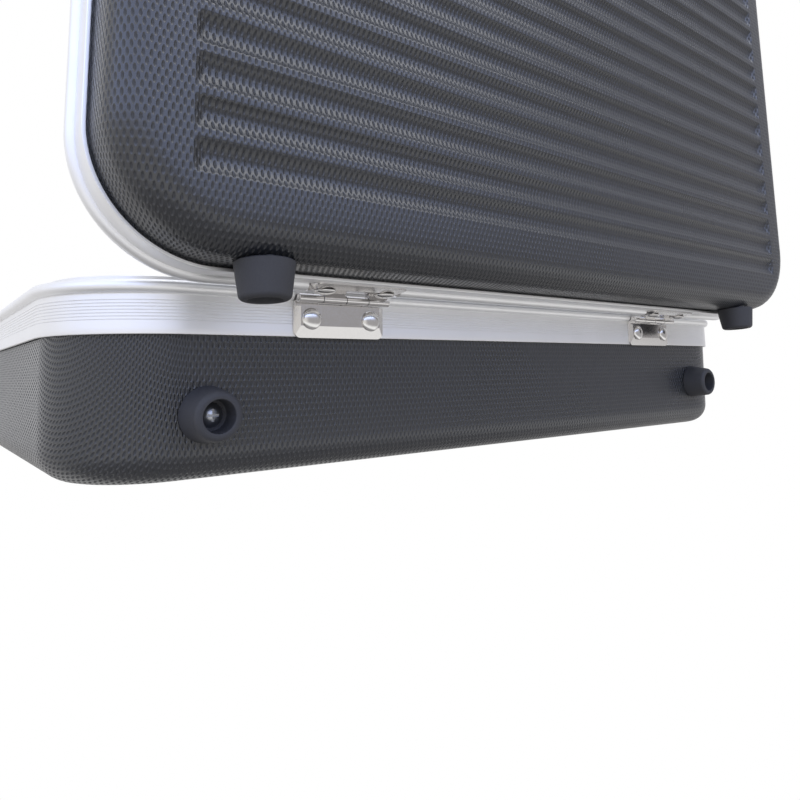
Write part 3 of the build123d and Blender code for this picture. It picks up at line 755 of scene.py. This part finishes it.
def rivetTree():
    board, given = geometryBoard("rivets", ("Head Radius", "Head Height", "Rim", "Shank Radius", "Grip"))
    radius, rim = given["Head Radius"], given["Rim"]
    size = {"Size X": 1.0, "Size Y": 1.0, "Vertices X": rivet["segments"] + 1, "Vertices Y": rivet["rings"]}
    grid = board.node("GeometryNodeMeshGrid", {}, size)
    place = board.node("GeometryNodeInputPosition")
    around = (board.part(place, 0) + 0.5) * (2 * math.pi)
    share = board.part(place, 1) + 0.5
    turn = board.math("MINIMUM", share * ((rivet["rings"] - 1) / (rivet["rings"] - 2)), 1) * math.pi
    rise, side = board.math("COSINE", turn), board.math("SINE", turn)
    domed = board.math("GREATER_THAN", rise, 0)
    out = radius * side * domed + (radius - rim + rim * side) * (1 - domed)
    out = out * board.math("LESS_THAN", share, 0.999)
    up = rim + rise * (rim + (given["Head Height"] - rim * 2) * domed)
    spun = board.node("ShaderNodeCombineXYZ", {}, {0: out * board.math("COSINE", around),
                                                   1: out * board.math("SINE", around), 2: up})
    head = board.node("GeometryNodeSetPosition", {}, {"Geometry": grid, "Position": spun})
    head = board.node("GeometryNodeMergeByDistance", {}, {"Geometry": head, "Distance": 1e-4})
    shank = board.node("GeometryNodeMeshCylinder", {}, {"Vertices": 24, "Radius": given["Shank Radius"],
                                                        "Depth": given["Grip"]})
    lower = board.node("ShaderNodeCombineXYZ", {}, {2: given["Grip"] * -0.5 - 0.01})
    shank = board.node("GeometryNodeTransform", {}, {"Geometry": shank, "Translation": lower})
    join = board.tree.nodes.new("GeometryNodeJoinGeometry")
    for piece in (head, shank):
        board.tree.links.new(piece.socket, join.inputs[0])
    facing = board.node("GeometryNodeInputNamedAttribute", {"data_type": "FLOAT_VECTOR"}, {"Name": "facing"})
    aim = board.node("FunctionNodeAlignRotationToVector", {"axis": "Z"}, {"Vector": facing})
    placed = board.node("GeometryNodeInstanceOnPoints", {}, {"Points": given["Geometry"], "Rotation": aim,
                                                             "Instance": Value(board, join.outputs[0]),
                                                             "Scale": (mm, mm, mm)})
    board.close(placed, given["Material"])
    return board.tree


def addRivets():
    tree = rivetTree()
    for name, (body, node, middle, apart, y, z, radius, height) in rivets.items():
        out = math.copysign(1.0, y)
        points = np.array([(side * middle + step * apart, y, z) for side in (-1, 1) for step in (-1, 1)])
        ends = points + (0, out, 0)
        if body == "lid":
            points, ends = opened(points), opened(ends)
        dots = meshOf(name, points, [])
        facing = dots.attributes.new("facing", "FLOAT_VECTOR", "POINT")
        facing.data.foreach_set("vector", (ends - points).ravel())
        sizes = {"Head Radius": radius, "Head Height": height, "Rim": rivet["rim"],
                 "Shank Radius": rivet["shank"], "Grip": out * y - case["width"] / 2 + rivet["grip"],
                 "Material": looks["rivet_steel"]}
        addPiece(smoothed(grown(dots, tree, sizes), 50), body, "rivet_steel", node)


addRivets()
print("rivets made")


# Pressed and moulded fittings: the solid's own shape with its edges rounded. Each has its body and rounding,
# and the levers and claws ride on the body of their own side.
fittings = {"_hinge_base_leaf": ("base", 0.18), "_hinge_lid_leaf": ("lid", 0.18),
            "_latch_base": ("base", 0.2), "_strike": ("lid", 0.2), "_latch_lever": ("lever", 0.3),
            "_latch_claw": ("claw", 0.2), "_handle_bracket": ("base", 0.25)}


def mergedCopy(node):
    words = node.split("_")
    name = words[0] + "".join(word.capitalize() for word in words[1:])
    work = bmesh.new()
    work.from_mesh(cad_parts[node].data)
    work.transform(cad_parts[node].matrix_world)
    bmesh.ops.remove_doubles(work, verts=work.verts, dist=1e-6)
    bmesh.ops.dissolve_limit(work, angle_limit=math.radians(0.6), verts=work.verts, edges=work.edges)
    mesh = bpy.data.meshes.new(name)
    work.to_mesh(mesh)
    work.free()
    mesh.shade_smooth()
    return mesh


def addFitting(node, body, slotName, width):
    piece = addPiece(mergedCopy(node), body, slotName, node)
    rounding = piece.modifiers.new("rounding", "BEVEL")
    rounding.width = width * mm
    rounding.segments = 2
    rounding.limit_method = "ANGLE"
    rounding.angle_limit = math.radians(12)
    level = piece.modifiers.new("level", "WEIGHTED_NORMAL")
    level.weight = 100
    level.keep_sharp = False


for ending, (body, width) in fittings.items():
    for side in ("right", "left"):
        rider = body if body in ("base", "lid") else side + "_" + body
        addFitting(side + ending, rider, "hinge_steel", width)
addFitting("handle", "handle", "handle_plastic", 0.5)
print("fittings made")
